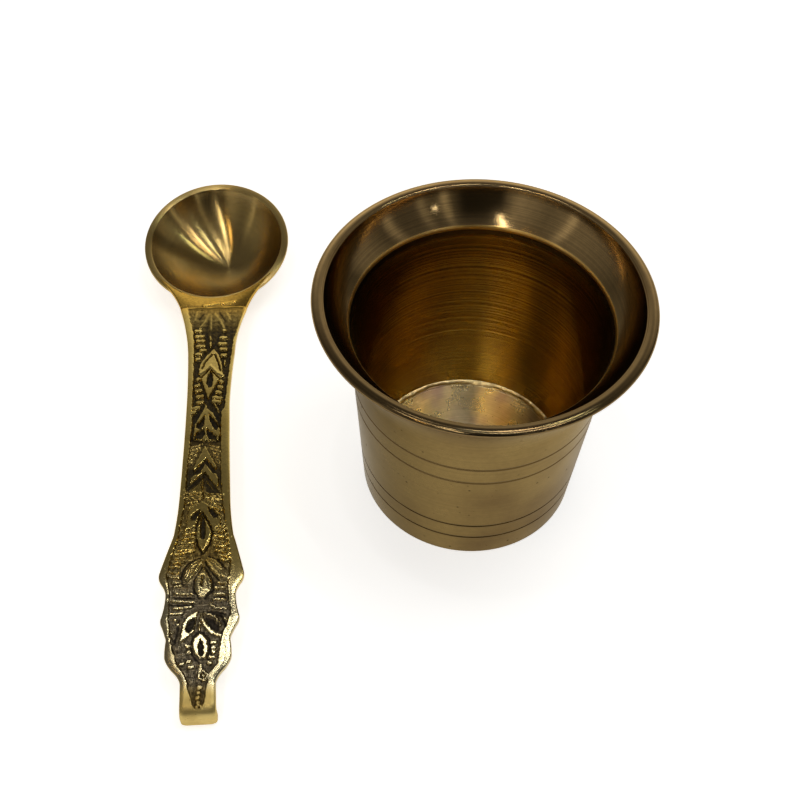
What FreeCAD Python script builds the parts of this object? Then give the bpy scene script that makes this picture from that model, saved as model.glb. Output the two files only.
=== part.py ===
import FreeCAD, Part
import math
import os
import re
import Sketcher

# Panchpatra: a turned brass water cup with a flared rim, and the cast spoon that is
# laid beside it. Millimetres, +Z up, origin at the centre of the cup's flat foot.
# The spoon's own frame stands on the table under the middle of its bowl: X runs
# to the tail, Z up. Its Placement turns it and sets it beside the cup.

SIZES = {
    # Turned cup, heights from the foot
    "foot_radius": 24.73,
    "body_height": 42.5,
    "body_spread": 2.49,
    "cove_height": 15.4,
    "cove_bow": 1.55,
    "flare_reach": 7.78,
    "rim_undercut": 0.7,
    "lip_thickness": 1.56,
    "lip_width": 2.3,
    "lip_step": 0.22,
    "lip_bevel": 0.25,
    "dish_bow": 0.5,
    "throat_drop": 7.98,
    "throat_overhang": 1.54,
    "throat_bow": 0.23,
    "wall_foot": 1.72,
    "wall_waist": 1.23,
    "foot_round": 0.5,
    # Turned lines round the outside, two pairs
    "upper_line_height": 30.79,
    "upper_line_gap": 5.15,
    "upper_line_width": 0.5,
    "upper_line_depth": 0.28,
    "lower_line_height": 7.16,
    "lower_line_gap": 5.11,
    "lower_line_width": 0.4,
    "lower_line_depth": 0.22,
    # Base disc wedged in the tapered bore, and its braze
    "disc_thickness": 2.68,
    "disc_clearance": 0.03,
    "disc_groove_inset": 1.15,
    "disc_groove_width": 0.4,
    "disc_groove_depth": 0.3,
    "braze_width": 0.8,
    "braze_height": 0.55,
    "braze_bow": 0.08,
    # Spoon's place on the table
    "spoon_left": 66.65,
    "spoon_back": 60.9,
    "spoon_turn": 5.0,
    # Spoon bowl, a part of a ball
    "bowl_radius": 19.05,
    "bowl_rim_width": 1.75,
    "bowl_depth": 10.0,
    "bowl_floor": 1.8,
    "bowl_edge": 0.8,
    "bowl_edge_bevel": 0.15,
    "bowl_tilt": 10.5,
    "bowl_roll": 2.2,
    "neck_root": 8.0,
    "neck_thickness": 1.7,
    "neck_landing": 0.3,
    "neck_underside": 0.75,
    # Side view of the handle
    "neck_length": 2.15,
    "joint_height": 9.3,
    "handle_run": 105.7,
    "handle_crown": 4.9,
    "handle_thickness": 2.3,
    "bend_height": 6.3,
    "bend_radius": 3.0,
    # Plan of the handle: each stretch has a length, a half width at its end and a bow
    "blend_angle": 58.3,
    "blend_sink": 0.6,
    "neck_half": 8.45,
    "neck_bow": -0.9,
    "taper_run": 13.3,
    "taper_half": 5.95,
    "taper_bow": -0.3,
    "waist_run": 19.5,
    "waist_half": 5.02,
    "waist_bow": -0.15,
    "blade_run": 27.8,
    "blade_half": 5.65,
    "blade_bow": -0.1,
    "swell_run": 8.7,
    "swell_half": 6.5,
    "swell_bow": -0.12,
    "shoulder_run": 8.5,
    "shoulder_half": 8.95,
    "shoulder_bow": 0.05,
    "crest_run": 2.5,
    "crest_half": 8.6,
    "crest_bow": 0.28,
    "notch_run": 2.5,
    "notch_half": 7.4,
    "notch_bow": -0.2,
    "lobe_run": 5.2,
    "lobe_half": 8.25,
    "lobe_bow": -0.2,
    "ear_run": 2.0,
    "ear_half": 7.7,
    "ear_bow": 0.2,
    "nick_run": 2.6,
    "nick_half": 6.65,
    "nick_bow": -0.05,
    "collar_run": 3.8,
    "collar_half": 6.9,
    "collar_bow": 0.1,
    "scroll_run": 2.6,
    "scroll_half": 5.4,
    "scroll_bow": 0.2,
    "tongue_run": 2.6,
    "tongue_half": 3.65,
    "tongue_bow": -0.25,
    "tail_run": 8.0,
    "tail_half": 3.8,
    "tail_bow": -0.05,
    # Sunk panel of the ornament
    "panel_margin": 1.35,
    "panel_depth": 0.7,
    "panel_start": 1.2,
    "panel_throat_half": 4.2,
    "panel_tip_half": 0.8,
    "panel_tip_gap": 0.6,
    # Raised leaves down the middle of the panel: gap before, length and half width
    "mandorla_gap": 16.2,
    "mandorla_length": 17.1,
    "mandorla_half": 2.5,
    "leaf_gap": 1.0,
    "leaf_length": 10.0,
    "leaf_half": 2.3,
    "chevron_gap": 2.5,
    "chevron_length": 11.0,
    "chevron_half": 2.5,
    "petal_gap": 4.3,
    "petal_length": 11.7,
    "petal_half": 1.7,
    "bud_gap": 2.5,
    "bud_length": 9.5,
    "bud_half": 1.5,
    "drop_gap": 4.9,
    "drop_length": 6.1,
    "drop_half": 1.5,
    "leaf_rib": 0.8,
    # Beads in two rows beside the mandorla
    "bead_radius": 0.65,
    "bead_pitch": 1.8,
    "bead_start": 9.0,
    "bead_side": 3.2,
}

STRETCHES = ("neck", "taper", "waist", "blade", "swell", "shoulder", "crest", "notch", "lobe",
             "ear", "nick", "collar", "scroll", "tongue", "tail")
LEAVES = ("mandorla", "leaf", "chevron", "petal", "bud", "drop")
BEADS = 6
QUARTER_BOW = 1 - math.sqrt(0.5)

doc = FreeCAD.newDocument("Panchpatra")
sheet = doc.addObject("Spreadsheet::Sheet", "Sizes")
for row, (name, size) in enumerate(SIZES.items(), start=1):
    sheet.set(f"A{row}", name)
    sheet.set(f"B{row}", str(size))
    sheet.setAlias(f"B{row}", name)
doc.recompute()


def bound(formula):
    """Point each size named in a formula at its cell."""
    return re.sub(r"[a-z_]+", lambda word: "Sizes." + word[0] if word[0] in SIZES else word[0], formula)


def value(formula):
    """A formula's number now."""
    number = sheet.evalExpression(bound(formula))
    return float(getattr(number, "Value", number))


def pin(sketch, curve, vertex, formulas):
    """Hold one vertex of a curve at a place given by two formulas."""
    for kind, formula in zip(("DistanceX", "DistanceY"), formulas):
        rule = sketch.addConstraint(Sketcher.Constraint(kind, -1, 1, curve, vertex, value(formula)))
        sketch.setExpression(f"Constraints[{rule}]", bound(formula))


def draw(sketch, start, *steps):
    """Draw a closed outline. A step is an end point, or an arc's middle and end, in formulas."""
    here = start
    first_end = None
    last_end = None
    for step in steps:
        there = step[-2:]
        ends = [FreeCAD.Vector(value(x), value(y), 0) for x, y in (here, there)]
        if len(step) == 2:
            curve = sketch.addGeometry(Part.LineSegment(*ends), False)
            tail, head = 1, 2
        else:
            middle = FreeCAD.Vector(value(step[0]), value(step[1]), 0)
            leftward = (ends[1] - ends[0]).cross(middle - ends[0]).z > 0
            tail, head = (2, 1) if leftward else (1, 2)
            order = (ends[1], middle, ends[0]) if leftward else (ends[0], middle, ends[1])
            curve = sketch.addGeometry(Part.Arc(*order), False)
            point = sketch.addGeometry(Part.Point(middle), True)
            sketch.addConstraint(Sketcher.Constraint("PointOnObject", point, 1, curve))
            pin(sketch, point, 1, step[:2])
        if last_end:
            sketch.addConstraint(Sketcher.Constraint("Coincident", *last_end, curve, tail))
        else:
            first_end = (curve, tail)
        pin(sketch, curve, tail, here)
        last_end = (curve, head)
        here = there
    sketch.addConstraint(Sketcher.Constraint("Coincident", *last_end, *first_end))
    doc.recompute()
    return sketch


def arc(start, end, bow):
    """An arc's middle and end, where the bow lies to the left of the chord."""
    across = f"(({end[0]}) - ({start[0]}))"
    along = f"(({end[1]}) - ({start[1]}))"
    chord = f"sqrt({across}^2 + {along}^2)"
    middle = (f"(({start[0]}) + ({end[0]})) / 2 - ({bow}) * {along} / {chord}",
              f"(({start[1]}) + ({end[1]})) / 2 + ({bow}) * {across} / {chord}")
    return (*middle, *end)


def turned_body(label, feature, start, *steps):
    """A body turned about +Z from a half section."""
    body = doc.addObject("PartDesign::Body", label)
    sketch = turned_sketch(body, f"{label}_section", start, *steps)
    turn(body, sketch, "PartDesign::Revolution", feature)
    return body


def turned_sketch(body, name, start, *steps):
    """A half section on the body's upright plane."""
    plane = next(item for item in body.Origin.OriginFeatures if item.Role == "XZ_Plane")
    sketch = body.newObject("Sketcher::SketchObject", name)
    sketch.AttachmentSupport = [(plane, "")]
    sketch.MapMode = "FlatFace"
    return draw(sketch, start, *steps)


def turn(body, sketch, kind, feature):
    """Turn a half section once round, to add or to cut."""
    turned = body.newObject(kind, feature)
    turned.Profile = sketch
    turned.ReferenceAxis = (sketch, ["V_Axis"])
    turned.Angle = 360
    body.Tip = turned
    doc.recompute()


# The cup's radii and heights, from the foot up
waist = "(foot_radius + body_spread)"
rim = f"({waist} + flare_reach)"
under_lip = "(body_height + cove_height)"
cup_top = f"({under_lip} + lip_thickness)"
bore_foot = "(foot_radius - wall_foot)"
bore_waist = f"({waist} - wall_waist)"


def wall_at(height):
    """Outer radius of the cup's straight wall at a height."""
    return f"(foot_radius + body_spread * ({height}) / body_height)"


def bore_at(height):
    """Radius of the tapered bore at a height."""
    return f"({bore_foot} + ({bore_waist} - {bore_foot}) * ({height}) / body_height)"


def make_cup():
    """The turned cup: tapered wall, cove under the rim, flat lip, dished flare and open bore."""
    wall_start = (wall_at("foot_round"), "foot_round")
    wall_end = (waist, "body_height")
    lip_under = (f"{rim} - rim_undercut", under_lip)
    lip_inside = (f"{rim} - lip_width", f"{cup_top} - lip_step")
    throat = (f"{bore_waist} + throat_overhang", f"{cup_top} - throat_drop")
    bore_end = (bore_waist, "body_height")
    foot_corner = ("foot_radius - foot_round", "0")
    cup = turned_body(
        "cup_body", "turned_wall", (bore_foot, "0"),
        foot_corner,
        arc(foot_corner, wall_start, f"-foot_round * {QUARTER_BOW}"),
        wall_end,
        arc(wall_end, lip_under, "cove_bow"),
        (rim, f"{under_lip} + rim_undercut"),
        (rim, f"{cup_top} - lip_bevel"),
        (f"{rim} - lip_bevel", cup_top),
        (f"{rim} - lip_width", cup_top),
        lip_inside,
        arc(lip_inside, throat, "dish_bow"),
        arc(throat, bore_end, "-throat_bow"),
        (bore_foot, "0"),
    )
    for pair in ("lower_line", "upper_line"):
        for place, height in (("low", f"{pair}_height"), ("high", f"({pair}_height + {pair}_gap)")):
            depth = f"{pair}_depth"
            before = cup.Shape.Volume
            sketch = turned_sketch(
                cup, f"{pair}_{place}_section", (f"{wall_at(height)} + {depth}", f"{height} - {pair}_width"),
                (f"{wall_at(height)} - {depth}", height),
                (f"{wall_at(height)} + {depth}", f"{height} + {pair}_width"),
                (f"{wall_at(height)} + {depth}", f"{height} - {pair}_width"),
            )
            turn(cup, sketch, "PartDesign::Groove", f"{pair}_{place}")
            if cup.Shape.Volume >= before:
                raise RuntimeError(f"{pair} {place} cuts nothing")
    return cup


def make_base_disc():
    """The plain disc wedged in the foot of the bore, with a shallow turned line near its edge."""
    edge = f"({bore_at('disc_thickness')} - disc_clearance)"
    groove = f"({bore_at('disc_thickness')} - disc_groove_inset)"
    return turned_body(
        "cup_base_disc", "turned_disc", ("0", "0"),
        (f"{bore_foot} - disc_clearance", "0"),
        (edge, "disc_thickness"),
        (groove, "disc_thickness"),
        (f"{groove} - disc_groove_width / 2", "disc_thickness - disc_groove_depth"),
        (f"{groove} - disc_groove_width", "disc_thickness"),
        ("0", "disc_thickness"),
        ("0", "0"),
    )


def make_braze_ring():
    """The bead of braze in the corner between the disc and the bore."""
    top = "(disc_thickness + braze_height)"
    start = (f"{bore_at('disc_thickness')} - disc_clearance - braze_width", "disc_thickness")
    crest = (f"{bore_at(top)} - disc_clearance", top)
    return turned_body(
        "cup_braze_ring", "turned_bead", start,
        (f"{bore_at('disc_thickness')} - disc_clearance", "disc_thickness"),
        crest,
        arc(crest, start, "-braze_bow"),
    )


# The spoon bowl's two balls, in the frame of its rim: X to the tail, Z up the bowl's axis
outer_depth = "(bowl_depth + bowl_floor)"
outer_centre = f"((bowl_radius^2 + bowl_edge^2 - {outer_depth}^2) / (2 * ({outer_depth} - bowl_edge)))"
outer_ball = f"({outer_centre} + {outer_depth})"
inner_rim = "(bowl_radius - bowl_rim_width)"
inner_ball = f"(({inner_rim}^2 + bowl_depth^2) / (2 * bowl_depth))"
rim_height = f"({outer_ball} - {outer_centre} * cos(bowl_tilt) * cos(bowl_roll))"

# The handle's upper side is one arc from the joint at the neck to the bend of the tail
slope = "(atan((bend_height - joint_height) / handle_run))"
chord = "sqrt(handle_run^2 + (bend_height - joint_height)^2)"
half_turn = f"(2 * atan(2 * handle_crown / {chord}))"
joint_reach = "(bowl_radius + neck_length)"
bend_reach = f"({joint_reach} + handle_run)"
top_marks = (
    (joint_reach, "joint_height", f"({slope} + {half_turn})"),
    (f"(({joint_reach} + {bend_reach}) / 2 - handle_crown * sin({slope}))",
     f"((joint_height + bend_height) / 2 + handle_crown * cos({slope}))", slope),
    (bend_reach, "bend_height", f"({slope} - {half_turn})"),
)


def below_top(mark, depth):
    """A place square below one of the three marks on the handle's upper side."""
    along, height, lean = top_marks[mark]
    return (f"({along} + ({depth}) * sin({lean}))", f"({height} - ({depth}) * cos({lean}))")


def in_bowl(along, height):
    """A place in the tilted frame of the bowl's rim, seen from the side."""
    return (f"(({along}) * cos(bowl_tilt) + ({height}) * sin(bowl_tilt))",
            f"({rim_height} - ({along}) * sin(bowl_tilt) + ({height}) * cos(bowl_tilt))")


def free_sketch(name, upright, *outline):
    """An outline in plan, or upright along the spoon."""
    sketch = doc.addObject("Sketcher::SketchObject", name)
    if upright:
        sketch.Placement = FreeCAD.Placement(FreeCAD.Vector(), FreeCAD.Rotation(FreeCAD.Vector(1, 0, 0), 90))
    return draw(sketch, *outline) if outline else sketch


def extrude(sketch, name, direction, length, symmetric):
    """A prism on an outline."""
    prism = doc.addObject("Part::Extrusion", name)
    prism.Base = sketch
    prism.DirMode = "Custom"
    prism.Dir = direction
    prism.Solid = True
    prism.Symmetric = symmetric
    prism.setExpression("LengthFwd", bound(length))
    return prism


def combine(kind, name, *parts):
    """A boolean of two parts, or of many."""
    result = doc.addObject(kind, name)
    if kind == "Part::Cut":
        result.Base, result.Tool = parts
    else:
        result.Shapes = list(parts)
    return result


def side_prism(name, start, *steps):
    """A prism across the spoon on a side view."""
    sketch = free_sketch(f"{name}_view", True, start, *steps)
    return extrude(sketch, name, FreeCAD.Vector(0, 1, 0), "4 * bowl_radius", True)


def plan_prism(sketch, name):
    """A prism up from a plan, past the top of the handle."""
    height = "2 * (joint_height + bend_height + handle_crown)"
    return extrude(sketch, name, FreeCAD.Vector(0, 0, 1), height, False)


def plan_steps():
    """The spoon's plan behind the bowl: one side from the bowl to the tail, then back on the other."""
    root_radius = "(bowl_radius - blend_sink)"
    root = (f"({root_radius} * cos(blend_angle))", f"({root_radius} * sin(blend_angle))")
    along = joint_reach
    side = []
    here = root
    for stretch in STRETCHES:
        if stretch != "neck":
            along = f"{along} + {stretch}_run"
        there = (f"({along})", f"{stretch}_half")
        middle = (f"({here[0]} + {there[0]}) / 2", f"({here[1]} + {there[1]}) / 2 + {stretch}_bow")
        side.append((middle, here, there))
        here = there
    steps = [(*middle, *there) for middle, start, there in side]
    steps.append((here[0], f"-({here[1]})"))
    for middle, start, there in reversed(side):
        steps.append((middle[0], f"-({middle[1]})", start[0], f"-({start[1]})"))
    steps.append(root)
    return root, steps


def make_plan():
    """The sketch that the neck and the handle share."""
    start, steps = plan_steps()
    return free_sketch("spoon_plan", False, start, *steps)


def make_bowl(plan):
    """The bowl, a shell between two balls, with the neck that carries the handle."""
    pole = ("0", f"-{outer_depth}")
    edge = ("bowl_radius", "-bowl_edge")
    opening_angle = f"(asin(bowl_radius / {outer_ball}) / 2)"
    halfway = (f"{outer_ball} * sin({opening_angle})",
               f"{outer_centre} - {outer_ball} * cos({opening_angle})")
    section = free_sketch(
        "bowl_section", True, pole,
        (*halfway, *edge),
        ("bowl_radius", "-bowl_edge_bevel"),
        ("bowl_radius - bowl_edge_bevel", "0"),
        ("0", "0"),
        pole,
    )
    dome = doc.addObject("Part::Revolution", "bowl_dome")
    dome.Source = section
    dome.Axis = FreeCAD.Vector(0, 0, 1)
    dome.Angle = 360
    dome.Solid = True
    tilted = f"placement(vector(0; 0; {rim_height}); rotation(0; bowl_tilt; bowl_roll))"
    dome.setExpression("Placement", bound(tilted))

    cavity = doc.addObject("Part::Sphere", "bowl_cavity")
    cavity.setExpression("Radius", bound(inner_ball))
    rise = f"({inner_ball} - bowl_depth)"
    along, height = in_bowl("0", f"({rise} * cos(bowl_roll))")
    aside = f"-{rise} * sin(bowl_roll)"
    centred = f"placement(vector({along}; {aside}; {height}); rotation(180; 0; 0))"
    cavity.setExpression("Placement", bound(centred))

    joint_top = below_top(0, "0")
    joint_foot = below_top(0, "handle_thickness")
    under_root = in_bowl("bowl_radius - bowl_rim_width", "-neck_thickness - neck_underside")
    block = side_prism(
        "neck_block", joint_top,
        joint_foot,
        under_root,
        in_bowl("neck_root", "-neck_thickness"),
        in_bowl("neck_root", "0"),
        in_bowl("bowl_radius + neck_landing", "0"),
        joint_top,
    )
    neck = combine("Part::MultiCommon", "bowl_neck", plan_prism(plan, "neck_plan_prism"), block)
    solid = combine("Part::MultiFuse", "bowl_and_neck", dome, neck)
    bowl = combine("Part::Cut", "bowl_shell", solid, cavity)
    bowl.Label = "spoon_bowl"
    return bowl


def make_handle(plan):
    """The cast handle: arched plate with a shaped edge, sunk panel and a tail curled to the table."""
    bend_lean = top_marks[2][2]
    centre = below_top(2, "bend_radius")
    inner_radius = "(bend_radius - handle_thickness)"
    half_angle = f"((90 deg + {bend_lean}) / 2)"
    outer_middle = (f"{centre[0]} + bend_radius * cos({half_angle})",
                    f"{centre[1]} + bend_radius * sin({half_angle})")
    inner_middle = (f"{centre[0]} + {inner_radius} * cos({half_angle})",
                    f"{centre[1]} + {inner_radius} * sin({half_angle})")
    half = "(handle_thickness / 2)"
    tail_face = f"({centre[0]} + bend_radius)"
    side = side_prism(
        "handle_side", below_top(0, "0"),
        (*below_top(1, "0"), *below_top(2, "0")),
        (*outer_middle, tail_face, centre[1]),
        (tail_face, half),
        (f"{tail_face} - {half}", "0", f"{tail_face} - handle_thickness", half),
        (f"{tail_face} - handle_thickness", centre[1]),
        (*inner_middle, *below_top(2, "handle_thickness")),
        (*below_top(1, "handle_thickness"), *below_top(0, "handle_thickness")),
        below_top(0, "0"),
    )
    blank = combine("Part::MultiCommon", "handle_blank", plan_prism(plan, "handle_plan_prism"), side)
    handle = combine("Part::Cut", "handle_plate", blank, make_panel(plan))
    handle.Label = "spoon_handle"
    return handle


def make_panel(plan):
    """What is sunk in the handle's face between its plain margins."""
    inset = doc.addObject("Part::Offset2D", "panel_plan")
    inset.Source = plan
    inset.setExpression("Value", "-Sizes.panel_margin")
    start = f"({joint_reach} + panel_start)"
    throat_reach = "(" + " + ".join([joint_reach] + [f"{name}_run" for name in STRETCHES[1:-2]]) + ")"
    tip = f"({bend_reach} - panel_tip_gap)"
    far = "bowl_radius"
    limit = free_sketch(
        "panel_limit", False, (start, f"-{far}"),
        (throat_reach, f"-{far}"),
        (throat_reach, "-panel_throat_half"),
        (tip, "-panel_tip_half"),
        (tip, "panel_tip_half"),
        (throat_reach, "panel_throat_half"),
        (throat_reach, far),
        (start, far),
        (start, f"-{far}"),
    )
    high = "(joint_height + bend_height + handle_crown)"
    band = side_prism(
        "panel_band", below_top(0, "panel_depth"),
        (*below_top(1, "panel_depth"), *below_top(2, "panel_depth")),
        (bend_reach, high),
        (joint_reach, high),
        below_top(0, "panel_depth"),
    )
    panel = combine("Part::MultiCommon", "panel", plan_prism(inset, "panel_plan_prism"),
                    plan_prism(limit, "panel_limit_prism"), band)
    return combine("Part::Cut", "panel_ground", panel, plan_prism(make_ornament(), "ornament_prism"))


def make_ornament():
    """Plan of what stands in the panel: hollow pointed leaves and rows of beads."""
    sketch = free_sketch("ornament_plan", False)
    along = joint_reach
    for leaf in LEAVES:
        start = f"{along} + {leaf}_gap"
        end = f"{start} + {leaf}_length"
        middle = f"{start} + {leaf}_length / 2"
        for inset, half in (("0", f"{leaf}_half"), ("2 * leaf_rib", f"({leaf}_half - leaf_rib)")):
            root = (f"{start} + {inset}", "0")
            tip = (f"{end} - {inset}", "0")
            draw(sketch, root, (middle, half, *tip), (middle, f"-{half}", *root))
        along = end
    for bead in range(BEADS):
        for side in ("bead_side", "-bead_side"):
            centre = (f"{joint_reach} + bead_start + bead_pitch * {bead}", side)
            middle = FreeCAD.Vector(value(centre[0]), value(centre[1]), 0)
            circle = Part.Circle(middle, FreeCAD.Vector(0, 0, 1), value("bead_radius"))
            curve = sketch.addGeometry(circle, False)
            pin(sketch, curve, 3, centre)
            rule = sketch.addConstraint(Sketcher.Constraint("Radius", curve, value("bead_radius")))
            sketch.setExpression(f"Constraints[{rule}]", bound("bead_radius"))
    doc.recompute()
    return sketch


def check(parts):
    """Stop if anything failed to build."""
    doc.recompute()
    for item in doc.Objects:
        if {"Invalid", "Error"} & set(item.State):
            raise RuntimeError(f"{item.Name} did not build: {item.State}")
    for part in parts:
        if part.Shape.isNull() or not part.Shape.isValid() or not part.Shape.Solids:
            raise RuntimeError(f"{part.Label} has no valid solid")


def main():
    plan = make_plan()
    spoon = [make_bowl(plan), make_handle(plan)]
    for piece in spoon:
        place = "placement(vector(-spoon_left; spoon_back; 0); rotation(spoon_turn - 90; 0; 0))"
        piece.setExpression("Placement", bound(place))
    parts = [make_cup(), make_base_disc(), make_braze_ring(), *spoon]
    check(parts)
    os.makedirs("parts", exist_ok=True)
    for part in parts:
        part.Shape.exportStep(f"parts/{part.Label}.step")
        box = part.Shape.optimalBoundingBox(False)
        print(f"{part.Label}: {len(part.Shape.Solids)} solid, {part.Shape.Volume:.0f} mm3,"
              f" x {box.XMin:.1f} to {box.XMax:.1f}, y {box.YMin:.1f} to {box.YMax:.1f},"
              f" z {box.ZMin:.2f} to {box.ZMax:.2f}")


main()
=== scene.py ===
import math

import bpy
import numpy as np
from mathutils import Matrix, Vector


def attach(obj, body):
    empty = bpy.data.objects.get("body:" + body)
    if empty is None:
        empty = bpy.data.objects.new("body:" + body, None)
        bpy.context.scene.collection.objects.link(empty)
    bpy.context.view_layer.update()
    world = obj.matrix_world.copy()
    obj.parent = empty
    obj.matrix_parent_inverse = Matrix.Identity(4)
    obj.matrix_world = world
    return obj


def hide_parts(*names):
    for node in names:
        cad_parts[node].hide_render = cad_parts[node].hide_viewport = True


# Panchpatra: a turned brass water cup and its cast spoon, dressed over the packed
# model. Pieces are shaped in millimetres and brought to metres when they are done.

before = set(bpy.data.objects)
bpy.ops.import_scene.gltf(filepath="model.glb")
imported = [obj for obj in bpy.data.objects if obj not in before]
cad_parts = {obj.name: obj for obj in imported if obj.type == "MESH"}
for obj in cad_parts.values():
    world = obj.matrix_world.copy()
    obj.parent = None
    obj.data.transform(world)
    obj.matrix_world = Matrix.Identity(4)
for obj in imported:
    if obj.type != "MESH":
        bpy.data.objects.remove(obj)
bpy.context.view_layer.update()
MM = 0.001

# Cup: radii and heights
FOOT_RADIUS = 24.73
FOOT_ROUND = 0.5
BODY_HEIGHT = 42.5
BODY_SPREAD = 2.49
WAIST = FOOT_RADIUS + BODY_SPREAD
RIM = 35.0
UNDER_LIP = 57.9
CUP_TOP = 59.46
COVE_BOW = 1.55
LIP_WIDTH = 2.3
LIP_STEP = 0.22
THROAT = (27.53, 51.48)
THROAT_OUT = (THROAT[0] + 0.35, THROAT[1] + 0.62)
THROAT_IN = (THROAT[0] - 0.1, THROAT[1] - 0.45)
THROAT_BOW = 0.23
DISH_BOW = 0.5
BORE_FOOT = 23.01
BORE_WAIST = 25.99
LINE_HEIGHTS = ((7.16, 0.42, 0.13), (12.27, 0.42, 0.13), (30.79, 0.5, 0.12), (35.94, 0.5, 0.12))
DISC_TOP = 2.68
DISC_EDGE = 23.16
DISC_GROOVE = (22.05, 0.4, 0.3)
BRAZE_WIDTH = 0.85
BRAZE_HEIGHT = 0.6
TURNS = 256

# Spoon's place on the table, and its bowl
SPOON_PLACE = (-66.65, 60.9, 0.0)
SPOON_TURN = math.radians(-85.0)
BOWL_RADIUS = 19.05
BOWL_INSIDE = 17.3
BOWL_DEPTH = 10.0
BOWL_FLOOR = 1.8
BOWL_EDGE = 0.8
BOWL_TILT = math.radians(10.5)
BOWL_ROLL = math.radians(2.2)
POLE_SHIFT = (1.8, 1.9)

# Side view of the handle: one arch from the neck to the bend, then the curled tail
JOINT = (21.2, 9.3)
BEND = (126.9, 6.3)
CROWN = 4.9
PLATE = 2.3
BEND_RADIUS = 3.0
TOP_ROUND = 0.3
UNDER_ROUND = 0.95
# Rounded corners of the tail's end, left and right
TAIL_CORNERS = ((1.5, -1), (2.3, 1))

# Neck: how far round the bowl it starts, the bow of its sides, its start at the sides, the share of it
# that is a wedge, its thickness at the bowl, and the two raised dashes
NECK_SWEEP = math.radians(58.3)
NECK_BOW = 0.9
NECK_ROOT = 18.45
NECK_WEDGE = 0.16
NECK_THIN = 1.4
DASHES = ((20.6, -2.7, 19.85, 1.0), (20.0, 1.8, 19.55, 5.0))
DASH_HALF = 0.66
DASH_SLOPE = 0.4
DASH_HEIGHT = 0.22

# Handle's plan: place along the spoon, half width there, bow of the stretch before it
OUTLINE = (
    (21.2, 8.45, 0.0), (34.5, 5.95, -0.3), (54.0, 5.02, -0.15), (81.8, 5.65, -0.1), (90.5, 6.5, -0.12),
    (99.0, 8.95, 0.05), (101.5, 8.6, 0.28), (104.0, 7.4, -0.2), (109.2, 8.25, -0.2), (111.2, 7.7, 0.2),
    (113.8, 6.65, -0.05), (117.6, 6.9, 0.1), (120.2, 5.4, 0.2), (122.8, 3.65, -0.25), (130.8, 3.8, -0.05),
)
# How far the cast edge wanders to the spoon's right
DRIFT = ((21.2, -0.3), (30.0, -0.25), (38.0, 0.0), (54.0, 0.0), (62.0, 0.15), (75.0, 0.28), (92.0, 0.34),
         (98.0, 0.2), (104.0, 0.1), (109.0, 0.15), (113.0, -0.2), (119.0, -0.1), (126.0, 0.0))
# Sunk panel: place along, its left edge, its right edge
PANEL = (
    (21.2, -7.1, 7.9), (26.0, -6.0, 6.9), (30.0, -5.0, 6.1), (34.0, -4.5, 5.35), (45.0, -4.0, 4.65),
    (54.0, -3.8, 4.15), (56.6, -3.7, 4.0), (57.6, -3.65, 3.35), (61.5, -3.55, 3.4), (75.5, -4.1, 3.85),
    (82.0, -4.12, 4.44), (91.8, -5.45, 5.9), (96.5, -6.75, 6.5), (99.8, -7.36, 6.35), (103.2, -6.6, 5.97),
    (108.7, -6.6, 6.7), (114.0, -6.1, 4.7), (119.2, -4.4, 4.0), (121.2, -2.83, 2.25), (124.3, -2.0, 1.8),
    (127.8, -0.8, 1.2), (128.6, 0.1, 0.25),
)
PANEL_DEPTH = 0.7
PANEL_WALL = 0.34
MARGIN_EDGE = 0.78
MARGIN_DROP = 0.14
# Bare ground of the panel: place along, level (0 is the full depth, 1 is flush with the margins)
GROUND = ((21.0, 0.45), (26.5, 0.4), (30.5, 0.16), (56.0, 0.1), (57.5, 0.03), (65.5, 0.03), (67.5, 0.3),
          (72.5, 0.26), (74.5, 0.08), (78.0, 0.15), (79.5, 0.38), (84.0, 0.3), (87.0, 0.4), (108.0, 0.3),
          (122.0, 0.3), (128.0, 0.4))
SPREAD = 0.12
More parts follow.
